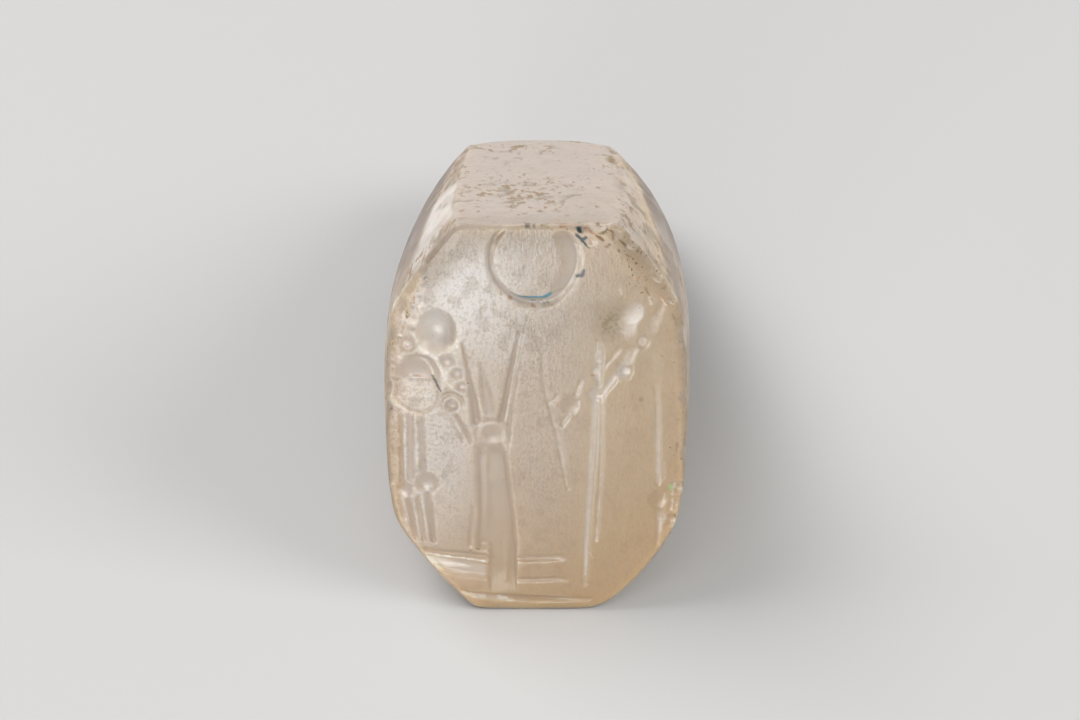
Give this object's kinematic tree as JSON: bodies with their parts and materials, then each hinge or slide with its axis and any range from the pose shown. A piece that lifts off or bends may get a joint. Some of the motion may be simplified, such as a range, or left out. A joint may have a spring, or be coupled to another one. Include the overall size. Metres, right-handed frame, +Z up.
{
  "type": "stamp seal",
  "caption": "Octagonal pyramidal stamp seal of milky chalcedony, its convex face engraved with a crescent, figures and symbols, pierced for a string.",
  "frame": {"origin": "middle of the footprint's box, on the surface that the seal lies on", "axes": "+Z up; the engraved face looks towards -Y and leans back; the apex points towards +Y; +X is to the right of someone who looks at the engraved face"},
  "size_m": [0.0152, 0.0282, 0.0205],
  "materials": {
    "chalcedony": "milky translucent chalcedony with a soft satin polish, fine pits and a little dirt along the edges"
  },
  "bodies": {
    "root": {"seal_body": "chalcedony"}
  },
  "joints": []
}
